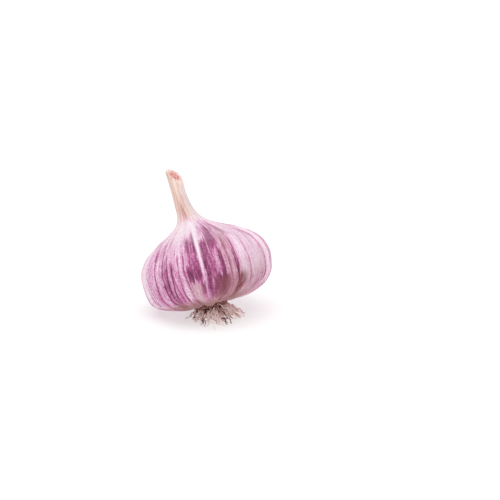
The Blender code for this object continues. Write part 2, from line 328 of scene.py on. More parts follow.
def head_surface(angle, place, lift, bridging):
    """World points of the head's skin, raised by lift, with its lobes, ribs, veins and wrinkles."""
    radius, height, crease, drift = np.moveaxis(on_curve(STATIONS, place), -1, 0)
    out, up = outward_at(place)
    clove, across = clove_at(angle)
    arch = np.sin(np.pi * across)
    round_clove = (arch ** 2 + CREASE_SOFTNESS) ** (CLOVE_ROUNDNESS / 2)
    fullness = smooth(0, FULL_RADIUS, radius)
    slender = 1 - smooth(*NECK_RADII, radius)
    raised = CLOVE_SWELL[clove] * fullness * arch - crease * bridging * (1 - np.minimum(round_clove, 1))
    raised += rib_relief(clove, across) * fullness + lift
    raised += VEIN_HEIGHT * (vein_relief(angle, place) - VEIN_LEVEL) * smooth(*VEIN_RADII, radius)
    raised += fullness * noise(angle, place, *WRINKLES)
    flutes = np.abs(np.sin(np.radians(angle * NECK_FLUTES / 2) + NECK_FLUTE_SWAY * np.sin(place)))
    flutes += noise(angle, place, FLUTE_BREAKS) - NECK_FLUTE_LEVEL
    raised += NECK_FLUTE_DEPTH * slender * flutes
    raised -= FOLD_DEPTH * near_folds(angle, place, FOLD_HALF_WIDTH_DEG)
    off = (angle + 180) % 360 - 180 - MAIN_VEIN_DEG - noise(angle, place, MAIN_VEIN_WANDER)
    ridge = np.exp(-(off / MAIN_VEIN_HALF_WIDTH_DEG) ** 2) * band(place, *MAIN_VEIN_STATIONS, 1)
    raised += MAIN_VEIN_HEIGHT * ridge
    turn = np.radians(bowed(angle, place))
    x = (radius + out * raised) * np.sin(turn)
    y = -(radius + out * raised) * np.cos(turn)
    slant = smooth(CUT_BLEND_FROM, CUT_HEIGHT, height)
    z = height + up * raised + slant * (CUT_SLOPE[0] * x + CUT_SLOPE[1] * y)
    return np.stack((x + drift, y, z), -1)


def tipped(points):
    """Upright points of the head as it lies on the table, with what would reach below it pressed flat."""
    world = points @ np.array(TIP).T + np.array(ROOT_PLATE_AT)
    world[..., 2] = np.maximum(world[..., 2], 0)
    return world


def grid_faces(rows, columns, closed=True):
    """Quads of a grid of vertices, row by row. A closed grid is a tube, with a face over each end."""
    around = columns if closed else columns - 1
    row, column = np.meshgrid(np.arange(rows - 1), np.arange(around), indexing="ij")
    following = (column + 1) % columns
    corners = (row * columns + column, row * columns + following)
    above = ((row + 1) * columns + following, (row + 1) * columns + column)
    faces = np.stack(corners + above, -1).reshape(-1, 4).tolist()
    if closed:
        count = rows * columns
        faces += [list(range(columns))[::-1], list(range(count - columns, count))]
    return faces


def add_piece(name, points, faces, materials, nodes=()):
    """One smooth mesh of the dressed garlic, riding on its body."""
    mesh = bpy.data.meshes.new(name)
    mesh.from_pydata(points.reshape(-1, 3).tolist(), [], faces)
    for surface in materials:
        mesh.materials.append(surface)
    mesh.shade_smooth()
    piece = bpy.data.objects.new(name, mesh)
    bpy.context.scene.collection.objects.link(piece)
    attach(piece, "root")
    if nodes:
        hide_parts(*nodes)
    return piece


def keep_on_mesh(piece, name, values):
    """Keeps a triple of numbers for each vertex, for the material to read."""
    layer = piece.data.attributes.new(name, "FLOAT_VECTOR", "POINT")
    layer.data.foreach_set("vector", values.reshape(-1).astype(np.float32))


def linear(hex_colour):
    """A colour written as sRGB hex, turned linear."""
    shares = (int(hex_colour[i:i + 2], 16) / 255 for i in (1, 3, 5))
    return (*(s / 12.92 if s <= 0.04045 else ((s + 0.055) / 1.055) ** 2.4 for s in shares), 1)


def add_node(material, kind, values=None, links=None, stops=(), **settings):
    """Adds one node with its settings, its sockets' values, its links and the stops of its colour ramp."""
    node = material.node_tree.nodes.new(kind)
    for name, value in settings.items():
        setattr(node, name, value)
    for socket, value in (values or {}).items():
        node.inputs[socket].default_value = value
    for socket, source in (links or {}).items():
        material.node_tree.links.new(source, node.inputs[socket])
    if stops:
        elements = node.color_ramp.elements
        for _ in stops[len(elements):]:
            elements.new(0.5)
        for element, (place, colour) in zip(elements, stops):
            element.position = place
            element.color = linear(colour)
    return node


def new_material(name):
    material = bpy.data.materials.new(name)
    material.use_nodes = True
    return material, material.node_tree.nodes["Principled BSDF"]


def wire(material, source, node, socket):
    material.node_tree.links.new(source, node.inputs[socket])


# Pigment and painted light. The purple lies in stripes between the veins, deepest over the middle of the
# front cloves, and runs out in streaks below the neck. With age the foot has gone tan, and the skin under
# the neck dusty; painted shade adds to the tan at the foot, darkens the folds, the creases at the foot and
# the underside in front, and lies wine-red, with a painted red reflection, in the crease low on the right.
# A few pale stripes and veins are painted highlights, and the neck has painted light on its right side and
# painted shade on its left. Angles are in degrees from the front, and heights in stations.

# Each stripe: angle, half width, strength, lowest and highest station.
PURPLE_STRIPES = (
    (-91, 8, 0.26, 4.6, 10.9),
    # Painted highlight: the next two stripes pale the left lobes.
    (-74, 6, -0.22, 5, 10.6),
    (-62, 5, -0.18, 5.2, 10.6),
    (-52, 2, 0.08, 5.5, 10),
    (-46.5, 2.2, 0.2, 9.9, 10.6),
    (-43, 2.6, -0.05, 7.6, 10.2),
    (-36, 6, 0.2, 4.9, 8.4),
    (-36, 7.5, 0.04, 5.2, 7.4),
    (-30, 7, 0.1, 5.6, 9.2),
    (-33.5, 1.2, 0.12, 6.5, 9.4),
    (-25, 3.2, 0.1, 5.2, 8.8),
    (-18, 4, 0.07, 6.2, 8.2),
    (-19, 3, -0.17, 5.4, 6.8),
    (-11, 2.2, 0.3, 7.2, 8.2),
    (-8, 4.6, 0.26, 7.3, 8),
    (-10, 1.6, 0.3, 10, 10.7),
    (-6.5, 4.6, 0.28, 7.4, 11),
    (-2, 1.7, 0.36, 6.2, 11.3),
    (4.2, 1.5, 0.42, 6.6, 10.5),
    (7.2, 2.6, 0.36, 5.4, 10.5),
    (11, 2, 0.18, 6.4, 11),
    (14.8, 3.4, 0.2, 7.2, 11.5),
    (14.5, 2.8, -0.12, 7.4, 9.4),
    (15.5, 4, 0.14, 9.8, 11.9),
    (16.5, 6.5, 0.4, 5.2, 6.9),
    (1.5, 5, 0.18, 4.9, 6.3),
    (-9, 4, -0.05, 5.4, 6.8),
    (18.6, 1.6, 0.38, 6, 9.2),
    (20, 7, 0.15, 10, 11.8),
    (27, 5, 0.03, 5, 10.6),
    # Painted shadow: a dark line low beside the torn edge of the outermost skin.
    (33, 1, 0.45, 4.6, 7.2),
    (34.8, 0.9, 0.14, 8.4, 11.9),
    (35.5, 1.6, 0.26, 10.9, 11.8),
    # Painted highlight: pales the lobe right of the torn edge.
    (39.5, 4.2, -0.14, 6.2, 10.4),
    (50, 4, -0.08, 7.4, 10.6),
    (60, 6, -0.08, 5.6, 10.6),
    (74, 5, -0.2, 5.6, 10.8),
    (89, 6, 0.08, 5.6, 11.2),
)
# The thin mauve streaks that run on over the shoulders to the foot of the neck, as above.
SHOULDER_STREAKS = (
    (10, 1.4, 0.14, 11.6, 12.9),
    (15.5, 1.8, 0.3, 12.2, 13.3),
    (20, 1.6, 0.26, 11.7, 12.8),
    (25, 2, 0.36, 12, 13.2),
    (31, 1.8, 0.34, 11.7, 12.9),
    (38, 2.4, 0.4, 11.5, 12.8),
    (46, 2, 0.26, 11.3, 12.6),
    (55, 3, 0.32, 11.2, 12.7),
    (66, 3, 0.24, 11.2, 12.5),
    (76, 3, 0.3, 11, 12.5),
    (87, 5, 0.3, 11, 12.6),
    (-30, 1.6, 0.2, 10.9, 12.4),
    (-40, 1.8, 0.2, 10.8, 12.3),
    (-50, 2, 0.16, 11, 12.2),
    (-72, 2.4, 0.18, 10.8, 12.2),
    (-88, 5, 0.3, 10.8, 12.4),
)
# Each pale vein or painted highlight: angle, half width at the top and at the foot, strength, lowest and
# highest station.
PALE_VEINS_AND_HIGHLIGHTS = (
    (-69, 3, 2, 0.5, 5.6, 10.8),
    (-43.5, 1.6, 1, 0.2, 7.5, 10.4),
    (-21.8, 1, 0.6, 0.35, 7, 10.8),
    (-13.3, 0.8, 0.6, 0.8, 8.8, 10.2),
    (-9, 2, 1.6, 0.15, 5.2, 6.8),
    (1.1, 3.1, 0.6, 0.95, 5.6, 12.9),
    # Painted highlight on the front of the shoulder, under the neck.
    (-5, 2.6, 1, 0.55, 10.9, 12.9),
    (10.3, 0.5, 0.4, 0.9, 9.4, 11.3),
    (23.8, 0.5, 0.4, 0.4, 5.2, 9),
    (27.3, 0.5, 0.4, 0.4, 5.2, 9),
    # Painted highlight along the lobe right of the torn edge.
    (40, 2.2, 1.4, 0.55, 6.9, 10.4),
    (48.5, 1.6, 1, 0.25, 7, 9.6),
    (73, 3, 2, 0.65, 5.4, 10.8),
)
VEIN_FOOT_SHARE = 0.36
VEIN_FLARE_FROM = 0.25
VEIN_WANDER_SHARE = 0.4
VEIN_RAGGED_SHARE = 0.3
LINES_FROM_NOISE = (0.4, 0.9)
LINES_LOST_IN_PURPLE = (0.45, 0.75)
BLOTCHES_FROM_NOISE = (0.1, 0.7)
STRIPE_FADE = 0.5
STREAK_FADE = 0.6
PURPLE_BASE = 0.335
# Purple along the folds: partly pigment, partly painted shade in them.
FOLD_PURPLE_AND_SHADE = 0.52
FOLD_LINE_HALF_WIDTH_DEG = 0.6
# Painted shade: how much purple the creases between the cloves get at the foot, and how wide.
CREASE_SHADE = 0.34
CREASE_SHADE_HALF_WIDTH_DEG = 2.2

# Stripes and streaks of the sides and back, drawn by lot as the folds are: seed, count and span, and the
# limits of the angle, of a stripe's strength and half width or a streak's half width and strength, and of
# its lowest and highest station.
BACK_STRIPES, BACK_STREAKS = (32, 22, 76, 260), (33, 20, 84, 252)
BACK_STRIPE_ANGLE, BACK_STREAK_ANGLE = ((0.1, 0.9),), ((0, 1),)
BACK_STRIPE_LIMITS = ((-0.08, 0.36), (1.6, 4.6), (4.8, 6.6), (9.8, 11.6))
BACK_STREAK_LIMITS = ((1.2, 3), (0.08, 0.34), (10.8, 11.8), (12.2, 13.1))

# The purple pales above its top, which is highest between the two spans of angle, and towards the foot.
PURPLE_TOP = 10.8
PURPLE_PEAK = 1.0
PEAK_LEFT_DEG, PEAK_RIGHT_DEG = (-18, 12), (26, 50)
PALING_FROM, PALING_TO = -0.3, 1.3
PALING_RAGGED = 1.2
TOP_LOSS = 0.74
FOOT_SHARE = 0.7
FOOT_PALING = (3.6, 5.4)
FOOT_STATIONS = (4.4, 6.2)
NECK_STATIONS = (12.8, 14.6)
NECK_RAGGED = 0.8

# Seeded streaks in the colour, as in the relief.
FINE_WANDER = (0.3, 180, 0.8, 42)
STRIPE_RAGGED = ((0.4, 150, 0.3, 43), (0.35, 420, 0.4, 44))
MOTTLE = ((0.05, 70, 0.35, 45), (0.05, 260, 1.4, 46))
FIBRE_STREAKS = ((0.24, 520, 1.3, 47), (0.10, 360, 4.2, 49))
FOOT_STREAKS = ((0.14, 84, 0.3, 37), (0.10, 190, 0.4, 36))
SHOULDER_BREAKS = (0.5, 420, 1.2, 40)
FAINT_LINES = (1, 150, 0.6, 48)
BLOTCHES = (1, 96, 1.2, 58)
FLUSH_BREAKS = (0.7, 90, 0.7, 39)
STAIN_RAGGED = ((0.4, 90, 0.5, 51), (0.3, 300, 0.5, 52))
FOOT_BREAKS = (0.35, 160, 0.5, 55)
RED_SHADOW_BREAKS = (0.4, 240, 2, 54)
DUST_AND_LIGHT_BREAKS = (0.5, 120, 0.8, 53)

# Each patch: strength, left and right edge with their fade and raggedness, and lowest and highest station
# with theirs. FAR is past any angle or station.
FAR = 999
FAINT_LINE_PATCH = (0.3, -FAR, FAR, 1, 0, 6, 12, 1, 0)
FAINT_VEIN_PATCH = (0.4, -FAR, FAR, 1, 0, 8.5, 13, 2, 0)
BLOTCH_PATCH = (0.5, 22.5, 30.5, 1.5, 0, 6, 10.6, 0.8, 0)
NECK_TINTS_AND_SHADE = (
    (0.55, -16, 3, 9, 0, 13.3, 14.8, 0.9, 1),
    (0.22, -FAR, FAR, 1, 0, 13.2, 15.2, 1, 1),
    # Painted shade on the left side of the neck.
    (0.34, -85, -42, 14, 0, 14, FAR, 1.5, 0),
)
# Tan patches: the first two are stains; the next two, low on the right, are painted shade with a painted
# red reflection; the last, in the dimple, is partly stain and partly painted shade under the head.
TAN_AND_SHADE_PATCHES = (
    (0.34, 22, 31, 2, 2, 4.5, 11, 1, 1),
    (0.42, -13, -4, 4, 2, -FAR, 6.5, 0.7, 1),
    (0.50, 20, 33, 4, 2, -FAR, 5.8, 1.1, 1),
    (0.24, 40, 66, 8, 0, -FAR, 7.2, 1.6, 1),
    (0.70, -FAR, FAR, 1, 0, -FAR, 1.6, 0.8, 0.4),
)
# Wine-red patches: the first is the skin's own colour; the other two, low on the right, are painted shade
# with a painted red reflection.
WINE_AND_SHADE_PATCHES = (
    (0.55, 9, 22, 2, 2, 4.9, 6.6, 0.6, 1),
    (0.30, 24, 33, 2, 2, -FAR, 6.3, 1, 1),
    (0.26, 40, 67, 6, 0, -FAR, 5.8, 1.8, 1),
)
DUST_ON_RIGHT = (0.34, 42, 62, 9, 0, 7.5, 11.5, 2, 0)
DUST_ON_SHOULDERS = (0.12, -FAR, FAR, 1, 0, 11, 12.6, 1, 0)
# Painted light: greys the lit right side of the neck.
PAINTED_LIGHT_ON_NECK = (0.55, 28, 80, 14, 0, 13.6, 16.2, 0.9, 0)

# The foot's tan all round and how much more in front, partly stain and partly painted shade under the head;
# the painted shade on the underside in front; and the painted shadow, with a painted red reflection, in the
# crease low on the right.
FRONT_DEG, FRONT_FADE_DEG = (-50, 50), 30
FOOT_TAN_AND_SHADE, FRONT_TAN_AND_SHADE = 0.22, 0.58
FOOT_TAN_AND_SHADE_STATIONS = (4.1, 5.9)
FOOT_TAN_AND_SHADE_RAGGED = 0.8
# Painted shade: wine-red over the underside of the head in front.
LOW_SHADE, LOW_SHADE_RAGGED = 0.42, 0.25
LOW_SHADE_FROM, LOW_SHADE_TO = (3.0, 3.9), (4.1, 5.5)
# Painted shadow with a painted red reflection in the crease low on the right.
RED_SHADOW_LEFT_DEG, RED_SHADOW_RIGHT_DEG = (31.4, 33.2), (34, 47)
RED_SHADOW_STATIONS, RED_SHADOW_FADE = (4.6, 6.4), 1.1
RED_SHADOW_RAGGED = 3


STRIPES = PURPLE_STRIPES + tuple(
    (angle, width, strength, low, high)
    for angle, strength, width, low, high in by_lot(*BACK_STRIPES, BACK_STRIPE_ANGLE, BACK_STRIPE_LIMITS)
)
STREAKS = SHOULDER_STREAKS + by_lot(*BACK_STREAKS, BACK_STREAK_ANGLE, BACK_STREAK_LIMITS)


def striped(stripes, turned, place, fade):
    """What a table of stripes adds to the purple."""
    added = np.zeros_like(turned)
    for centre, width, strength, low, high in stripes:
        stripe = np.exp(-np.abs((turned - centre) / width) ** 3)
        added += strength * stripe * band(place, low, high, fade)
    return added


def patch(row, turned, place, ragged):
    """How strong one soft-edged patch is at each place."""
    strength, left, right, side_fade, side_ragged, low, high, fade, end_ragged = row
    across = band(turned + side_ragged * ragged, left, right, side_fade)
    return strength * across * band(place + end_ragged * ragged, low, high, fade)


def strongest(rows, turned, place, ragged):
    return np.maximum.reduce([patch(row, turned, place, ragged) for row in rows])


def vein_and_highlight_whiteness(angle, place, turned, wander, ragged, purple):
    """How white the veins are: the broad ones, some of them painted highlights, faint lines where the skin
    is pale, and pale blotches.
    """
    white = np.zeros_like(purple)
    for centre, wide, narrow, strength, low, high in PALE_VEINS_AND_HIGHLIGHTS:
        width = narrow + (wide - narrow) * smooth(low + VEIN_FLARE_FROM * (high - low), high, place)
        off = np.abs((turned - centre - VEIN_WANDER_SHARE * wander) / width)
        rising = smooth(low + 1, (low + high) / 2 + 1, place)
        bright = strength * (VEIN_FOOT_SHARE + (1 - VEIN_FOOT_SHARE) * rising)
        ends = band(place + VEIN_RAGGED_SHARE * ragged, low, high, STRIPE_FADE)
        white = np.maximum(white, bright * np.exp(-off ** 3) * ends)
    lines = patch(FAINT_LINE_PATCH, turned, place, ragged)
    lines *= smooth(*LINES_FROM_NOISE, noise(angle, place, FAINT_LINES))
    veins = patch(FAINT_VEIN_PATCH, turned, place, ragged) * np.clip(vein_relief(angle, place), 0, 1)
    white = np.maximum(white, np.maximum(lines, veins) * (1 - smooth(*LINES_LOST_IN_PURPLE, purple)))
    blotches = patch(BLOTCH_PATCH, turned, place, ragged)
    blotches *= smooth(*BLOTCHES_FROM_NOISE, noise(angle, place, BLOTCHES))
    return np.maximum(white, blotches)


def pigment_and_painted_light(angle, place):
    """How purple the skin is, deeper with painted shade along its folds and creases, how white its veins
    and painted highlights are, and how far it is neck, each from 0 to 1.
    """
    turned = past_seam(angle)
    wander = noise(angle, place, FOLD_WANDER, FINE_WANDER)
    ragged = noise(angle, place, *STRIPE_RAGGED)
    purple = PURPLE_BASE + noise(angle, place, *MOTTLE)
    purple += striped(STRIPES, turned - wander, place + ragged, STRIPE_FADE)
    # Deeper purple along the folds: partly pigment, partly painted shade in the folds.
    purple += FOLD_PURPLE_AND_SHADE * near_folds(angle, place, FOLD_LINE_HALF_WIDTH_DEG)
    purple *= 1 + noise(angle, place, *FIBRE_STREAKS)
    top = PURPLE_TOP + PURPLE_PEAK * smooth(*PEAK_LEFT_DEG, turned) * (1 - smooth(*PEAK_RIGHT_DEG, turned))
    purple *= 1 - TOP_LOSS * smooth(top + PALING_FROM, top + PALING_TO, place + PALING_RAGGED * ragged)
    purple *= FOOT_SHARE + (1 - FOOT_SHARE) * smooth(*FOOT_PALING, place + ragged)
    foot = 1 - smooth(*FOOT_STATIONS, place + ragged)
    clove, across = clove_at(angle)
    to_crease = np.minimum(across, 1 - across) * (CREASES[clove + 1] - CREASES[clove])
    # Painted shade: more purple along the creases between the cloves at the foot.
    purple += foot * CREASE_SHADE * np.exp(-(to_crease / CREASE_SHADE_HALF_WIDTH_DEG) ** 2)
    purple += foot * noise(angle, place, *FOOT_STREAKS)
    shoulders = striped(STREAKS, turned - wander, place + ragged, STREAK_FADE)
    purple += shoulders * (1 + noise(angle, place, SHOULDER_BREAKS))
    white = vein_and_highlight_whiteness(angle, place, turned, wander, ragged, purple)
    neck = smooth(*NECK_STATIONS, place + NECK_RAGGED * ragged)
    # The neck's tints, with painted shade on its left side.
    flush_and_shade = strongest(NECK_TINTS_AND_SHADE, turned, place, ragged) * (1 + noise(angle, place, FLUSH_BREAKS))
    purple += neck * (flush_and_shade - purple)
    return np.stack((np.clip(purple, 0, 1), np.clip(white, 0, 1), neck), -1)


def stains_and_painted_light(angle, place):
    """How tan, how wine-red and how dusty grey the skin is, each from 0 to 1: the tan partly aged and
    partly painted shade, the wine-red partly its own colour and partly painted shade with a painted red
    reflection, the grey dust with painted light on the neck.
    """
    turned = past_seam(angle)
    ragged = noise(angle, place, *STAIN_RAGGED)
    front = band(turned, *FRONT_DEG, FRONT_FADE_DEG)
    # Tan at the foot, more in front: partly stain, partly painted shade under the head.
    foot_tan_and_shade = (FOOT_TAN_AND_SHADE + FRONT_TAN_AND_SHADE * front) * (1 + noise(angle, place, FOOT_BREAKS))
    foot_tan_and_shade *= 1 - smooth(*FOOT_TAN_AND_SHADE_STATIONS, place + FOOT_TAN_AND_SHADE_RAGGED * ragged)
    tan = np.maximum(foot_tan_and_shade, strongest(TAN_AND_SHADE_PATCHES, turned, place, ragged))
    # Painted shadow with a painted red reflection in the crease low on the right.
    crease = smooth(*RED_SHADOW_LEFT_DEG, turned)
    crease *= 1 - smooth(*RED_SHADOW_RIGHT_DEG, turned + RED_SHADOW_RAGGED * ragged)
    crease *= band(place + ragged, *RED_SHADOW_STATIONS, RED_SHADOW_FADE)
    crease *= 1 + noise(angle, place, RED_SHADOW_BREAKS)
    # Painted shade: wine-red over the underside of the head in front.
    low_front_shade = front * smooth(*LOW_SHADE_FROM, place) * (1 - smooth(*LOW_SHADE_TO, place))
    wine_and_shade = np.maximum(crease, (LOW_SHADE + LOW_SHADE_RAGGED * ragged) * low_front_shade)
    wine_and_shade = np.maximum(wine_and_shade, strongest(WINE_AND_SHADE_PATCHES, turned, place, ragged))
    # Dust on the right and on the shoulders, and painted light on the right side of the neck.
    dust_and_light = sum(patch(row, turned, place, ragged) for row in (DUST_ON_RIGHT, DUST_ON_SHOULDERS))
    dust_and_light = np.maximum(dust_and_light, patch(PAINTED_LIGHT_ON_NECK, turned, place, ragged))
    dust_and_light *= 1 + noise(angle, place, DUST_AND_LIGHT_BREAKS)
    return np.stack((np.clip(tan, 0, 1), np.clip(wine_and_shade, 0, 1), np.clip(dust_and_light, 0, 1)), -1)


# Dried garlic wrapper: thin cured leaf, satin like onion skin. It gives soft broad highlights along the
# lobes, lets a little light through, and its parallel fibres break the purple into fine streaks.

# The cells' speckle is under 0.1 mm in life, and is drawn at 0.7 mm so that it shows.
SPECKLE_MM = 0.7
FIBRE_PITCH_MM = 0.5
EQUATOR_RADIUS_MM = 30
# In the neck the fibres are pressed closer.
NECK_FIBRE_PITCH_MM = 0.3125
NECK_RADIUS_MM = 3.4
FIBRE_CELLS_ALONG, NECK_CELLS_ALONG = 5, 1.2
FIBRE_CELLS = (*[EQUATOR_RADIUS_MM / FIBRE_PITCH_MM] * 2, FIBRE_CELLS_ALONG)
NECK_CELLS = (*[NECK_RADIUS_MM / NECK_FIBRE_PITCH_MM] * 2, NECK_CELLS_ALONG)
STATIONS_A_CELL = 4
NOISE_LOW, NOISE_HIGH = 0.3, 0.7
SPECKLE_SHARE = 0.14
FIBRE_SHARE = 0.15
FIBRE_HEIGHT = 0.1 * MM
SMOOTHER, ROUGHER = -0.08, 0.12
LET_THROUGH = 0.12
LET_THROUGH_COLOURS = (1.0, 0.5, 0.6)
LET_THROUGH_DEPTH = 0.8 * MM
INNER_ROUGHNESS, INNER_FIBRE_BUMP = 0.46, 0.5
# The sockets of a mix of two colours.
FIRST_COLOUR, SECOND_COLOUR, MIXED_COLOUR = 6, 7, 2
WRAPPER_RAMP = (
    (0.0, "#F0E1E4"),
    (0.15, "#E8CBDA"),
    (0.30, "#DBA8C6"),
    (0.45, "#C87CA8"),
    (0.60, "#AD5689"),
    (0.78, "#8B3567"),
    (1.0, "#671E47"),
)
# The vein white also paints highlights; the tan and the wine-red also paint shade; the dusty grey also
# paints light on the neck; the neck's flush also paints shade on its left.
VEIN_WHITE_AND_HIGHLIGHT = "#F3E3EC"
TAN_STAIN_AND_SHADE = "#B38580"
WINE_RED_AND_SHADE = "#80363F"
DUSTY_GREY_AND_LIGHT = "#E0D3DB"
NECK_STOPS = ((0.30, "#D3A499"), (0.47, "#F0CFC1"), (0.64, "#FBEADF"))
NECK_FLUSH_AND_SHADE_COLOUR = "#B98480"


def wrapper_material(name, roughness, fibre_bump):
    material, shader = new_material(name)
    paint = add_node(material, "ShaderNodeAttribute", attribute_name="skin_paint")
    parts = add_node(material, "ShaderNodeSeparateXYZ", links={"Vector": paint.outputs["Vector"]})
    stain_and_light_attribute = add_node(material, "ShaderNodeAttribute", attribute_name="skin_stain_and_light")
    stain_and_light_parts = add_node(material, "ShaderNodeSeparateXYZ", links={"Vector": stain_and_light_attribute.outputs["Vector"]})
    place = add_node(material, "ShaderNodeAttribute", attribute_name="skin_place")
    textures = []
    for cells, detail, evenness in ((FIBRE_CELLS, 3, 0.65), (NECK_CELLS, 4, 0.6)):
        stretched = add_node(
            material, "ShaderNodeVectorMath", {1: cells}, {0: place.outputs["Vector"]},
            operation="MULTIPLY",
        )
        textures.append(add_node(
            material, "ShaderNodeTexNoise", {"Scale": 1, "Detail": detail, "Roughness": evenness},
            {"Vector": stretched.outputs["Vector"]},
        ))
    fibres, strands = textures
    spot = add_node(material, "ShaderNodeTexCoord")
    speckle = add_node(
        material, "ShaderNodeTexNoise", {"Scale": 1 / (SPECKLE_MM * MM), "Detail": 2},
        {"Vector": spot.outputs["Object"]},
    )
    speckled, broken = (
        add_node(
            material, "ShaderNodeMapRange",
            {"From Min": NOISE_LOW, "From Max": NOISE_HIGH, "To Min": -share, "To Max": share},
            {"Value": texture.outputs["Fac"]},
        )
        for texture, share in ((speckle, SPECKLE_SHARE), (fibres, FIBRE_SHARE))
    )
    grain = add_node(
        material, "ShaderNodeMath", links={0: speckled.outputs["Result"], 1: broken.outputs["Result"]},
        operation="ADD",
    )
    purple = add_node(
        material, "ShaderNodeMath", links={0: parts.outputs["X"], 1: grain.outputs["Value"]},
        operation="ADD", use_clamp=True,
    )
    striped_skin = add_node(
        material, "ShaderNodeValToRGB", links={"Fac": purple.outputs["Value"]}, stops=WRAPPER_RAMP,
    )
    neck_strands = add_node(
        material, "ShaderNodeValToRGB", links={"Fac": strands.outputs["Fac"]}, stops=NECK_STOPS,
    )
    neck = add_node(
        material, "ShaderNodeMix", {SECOND_COLOUR: linear(NECK_FLUSH_AND_SHADE_COLOUR)},
        {"Factor": parts.outputs["X"], FIRST_COLOUR: neck_strands.outputs["Color"]}, data_type="RGBA",
    )
    skin = striped_skin.outputs["Color"]
    # Tints: vein white with painted highlights, tan from stains and painted shade, and wine-red from its
    # own colour and painted shade.
    tints = (
        (parts.outputs["Y"], VEIN_WHITE_AND_HIGHLIGHT), (stain_and_light_parts.outputs["X"], TAN_STAIN_AND_SHADE), (stain_and_light_parts.outputs["Y"], WINE_RED_AND_SHADE),
    )
    for share, tint in tints:
        tinted = add_node(
            material, "ShaderNodeMix", {SECOND_COLOUR: linear(tint)},
            {"Factor": share, FIRST_COLOUR: skin}, data_type="RGBA",
        )
        skin = tinted.outputs[MIXED_COLOUR]
    up_to_neck = add_node(
        material, "ShaderNodeMix",
        links={"Factor": parts.outputs["Z"], FIRST_COLOUR: skin, SECOND_COLOUR: neck.outputs[MIXED_COLOUR]},
        data_type="RGBA",
    )
    # Dust grey, with painted light on the right side of the neck.
    dusted_and_lit = add_node(
        material, "ShaderNodeMix", {SECOND_COLOUR: linear(DUSTY_GREY_AND_LIGHT)},
        {"Factor": stain_and_light_parts.outputs["Z"], FIRST_COLOUR: up_to_neck.outputs[MIXED_COLOUR]}, data_type="RGBA",
    )
    satin = add_node(
        material, "ShaderNodeMapRange", {"To Min": roughness + SMOOTHER, "To Max": roughness + ROUGHER},
        {"Value": fibres.outputs["Fac"]},
    )
    bump = add_node(
        material, "ShaderNodeBump", {"Strength": fibre_bump, "Distance": FIBRE_HEIGHT},
        {"Height": fibres.outputs["Fac"]},
    )
    wire(material, dusted_and_lit.outputs[MIXED_COLOUR], shader, "Base Color")
    wire(material, satin.outputs["Result"], shader, "Roughness")
    wire(material, bump.outputs["Normal"], shader, "Normal")
    shader.inputs["Subsurface Weight"].default_value = LET_THROUGH
    shader.inputs["Subsurface Radius"].default_value = LET_THROUGH_COLOURS
    shader.inputs["Subsurface Scale"].default_value = LET_THROUGH_DEPTH
    return material


def paint_skin(piece, angle, place):
    turn = np.radians(angle)
    keep_on_mesh(piece, "skin_paint", pigment_and_painted_light(angle, place))
    keep_on_mesh(piece, "skin_stain_and_light", stains_and_painted_light(angle, place))
    keep_on_mesh(piece, "skin_place", np.stack((np.sin(turn), np.cos(turn), place / STATIONS_A_CELL), -1))


# Cut leaf bases: the rings of cured leaf in the end of the neck, where the knife went through them.
# They have dried apart a little, so each stands in its own ragged ring. The cut ends of the fibres
# scatter the light, so the cut looks matt, and pinkish tan with darker specks.

# Share of the rim's radius, and depth below the cut in millimetres.
CUT_LAYERS = (
    (0.95, -0.05), (0.90, 0.0), (0.87, 0.4), (0.83, 0.4), (0.81, -0.05),
    (0.74, 0.0), (0.71, 0.5), (0.66, 0.5), (0.64, 0.05), (0.60, 0.15), (0.59, 2.5),
)
RINGS_A_LEAF = 3
CUT_RAGGED = 0.22 * MM
CUT_RAGGED_CELLS = 38
CUT_RAGGED_SEED = 71
CUT_LIGHT, CUT_DARK = "#F8E6DF", "#DDB5AD"
CUT_ROUGHNESS = 0.75
# The cut ends of the fibres are about 0.1 mm in life, and are drawn at 0.6 mm so that they show.
CUT_GRAIN_MM = 0.6
CUT_GRAIN_HEIGHT = 0.1 * MM
CUT_GRAIN_BUMP = 0.4
DARK_FROM, LIGHT_FROM = 0.35, 0.65


def cut_material(name, light, dark, roughness):
    material, shader = new_material(name)
    spot = add_node(material, "ShaderNodeTexCoord")
    grain = add_node(
        material, "ShaderNodeTexNoise", {"Scale": 1 / (CUT_GRAIN_MM * MM), "Detail": 3},
        {"Vector": spot.outputs["Object"]},
    )
    colour = add_node(
        material, "ShaderNodeValToRGB", links={"Fac": grain.outputs["Fac"]},
        stops=((DARK_FROM, dark), (LIGHT_FROM, light)),
    )
    bump = add_node(
        material, "ShaderNodeBump", {"Strength": CUT_GRAIN_BUMP, "Distance": CUT_GRAIN_HEIGHT},
        {"Height": grain.outputs["Fac"]},
    )
    wire(material, colour.outputs["Color"], shader, "Base Color")
    wire(material, bump.outputs["Normal"], shader, "Normal")
    shader.inputs["Roughness"].default_value = roughness
    return material


def cut_rings(rim, angles):
    """The rings of leaf bases inside the rim of the cut, from the rim inwards."""
    centre = np.array((CUT_DRIFT, 0, CUT_HEIGHT))
    rings = []
    for index, (share, depth) in enumerate(CUT_LAYERS):
        ring = centre + (rim - centre) * share
        seed = CUT_RAGGED_SEED + index // RINGS_A_LEAF
        uneven = streaks(angles, np.zeros_like(angles), CUT_RAGGED_CELLS, 1, seed)
        ring[:, 2] += CUT_RAGGED * uneven - depth * MM
        rings.append(ring)
    return np.array(rings)


def column_angles():
    """Angles shared out evenly across each clove, with one in every crease."""
    shares = np.arange(HEAD_COLUMNS_PER_CLOVE) / HEAD_COLUMNS_PER_CLOVE
    return (CREASES[:-1, None] + np.diff(CREASES)[:, None] * shares).ravel()


